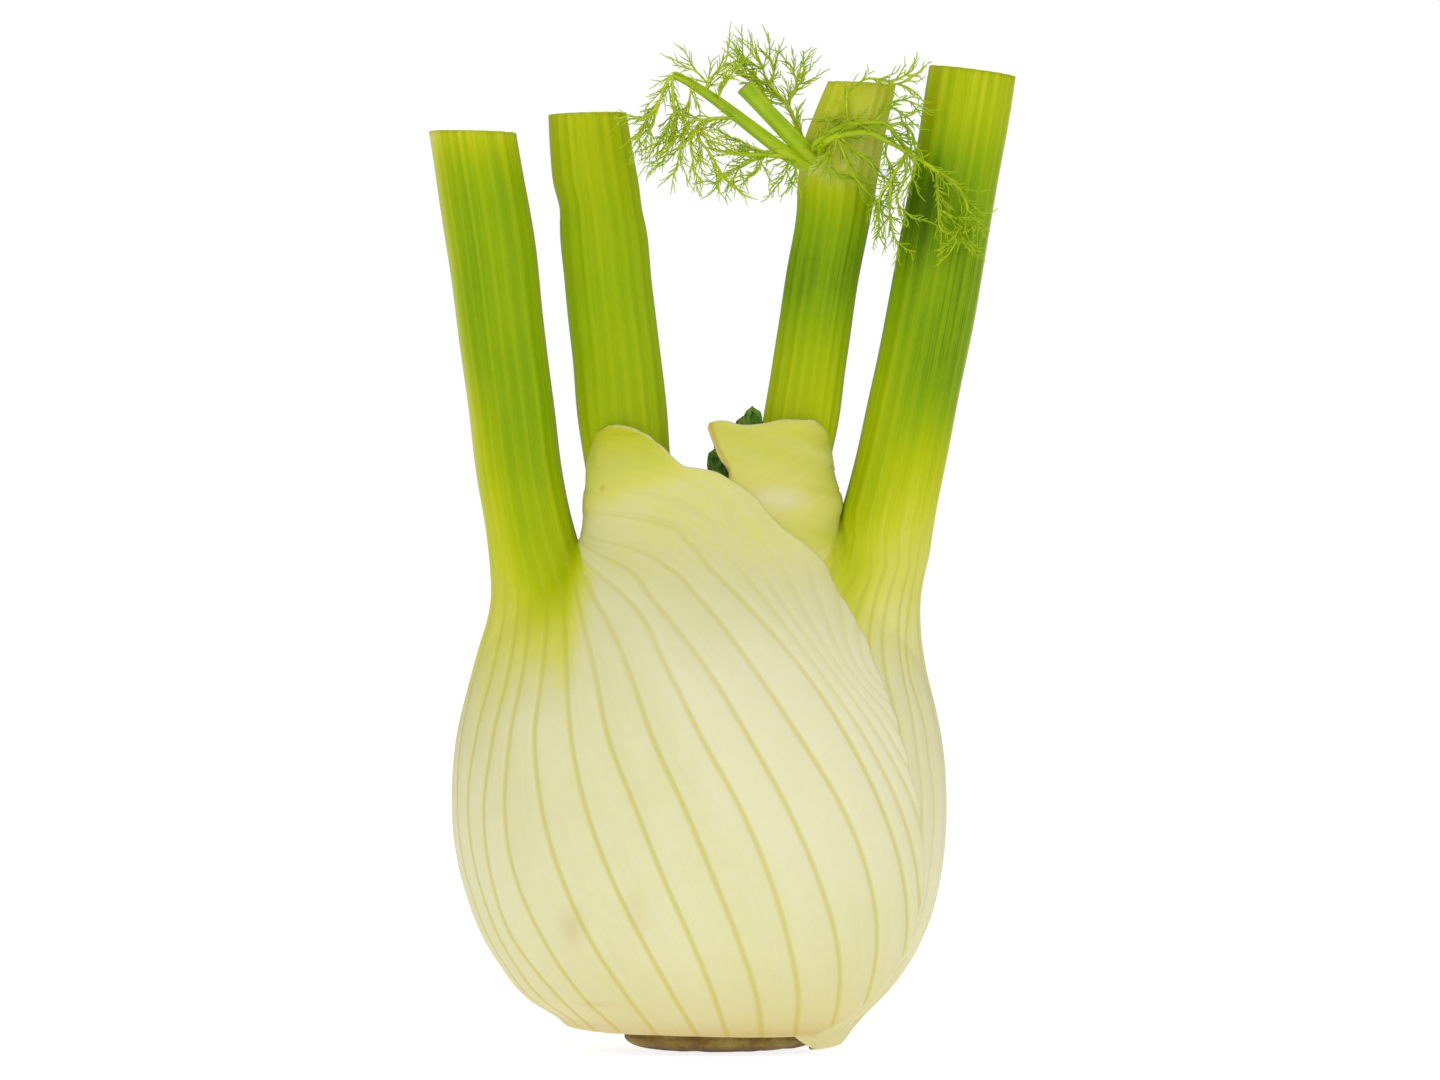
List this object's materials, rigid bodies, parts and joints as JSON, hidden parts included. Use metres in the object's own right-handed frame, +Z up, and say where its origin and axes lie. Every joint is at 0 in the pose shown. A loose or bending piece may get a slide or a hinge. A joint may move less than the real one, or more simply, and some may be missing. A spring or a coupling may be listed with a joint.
{
  "type": "fennel bulb",
  "caption": "Fresh fennel bulb standing on its trimmed root plate, with pale ribbed leaf bases, cut green stalks and feathery green leaflets.",
  "frame": {"origin": "middle of the flat underside of the root plate, on the surface that the bulb stands on", "axes": "+Z up along the stalks, X along the bulb's width in the plane of its stalks, -Y out of its broad front face"},
  "size_m": [0.119, 0.072, 0.2051],
  "materials": {
    "outer_leaf": "smooth pale cream-green leaf base, lightly waxy, turning yellow-green up the stalk",
    "inner_stalk": "fine-ribbed yellow-green stalk, lightly waxy",
    "heart_green": "rough dark green young leaf",
    "root_brown": "dry brown cut root",
    "side_stem": "thin ribbed green stem with a dried cut end",
    "frond_green": "soft thread-like bright green leaflets"
  },
  "bodies": {
    "root": {"root_plate": "root_brown", "outer_leaf_left": "outer_leaf", "outer_leaf_right": "outer_leaf", "inner_leaf_left": "inner_stalk", "inner_leaf_right": "inner_stalk", "heart_leaf": "heart_green", "side_stem_long": "side_stem", "side_stem_short": "side_stem", "frond_crown": "frond_green", "frond_left": "frond_green", "frond_lower": "frond_green", "frond_right": "frond_green", "frond_drape": "frond_green", "frond_tip": "frond_green"}
  },
  "joints": []
}
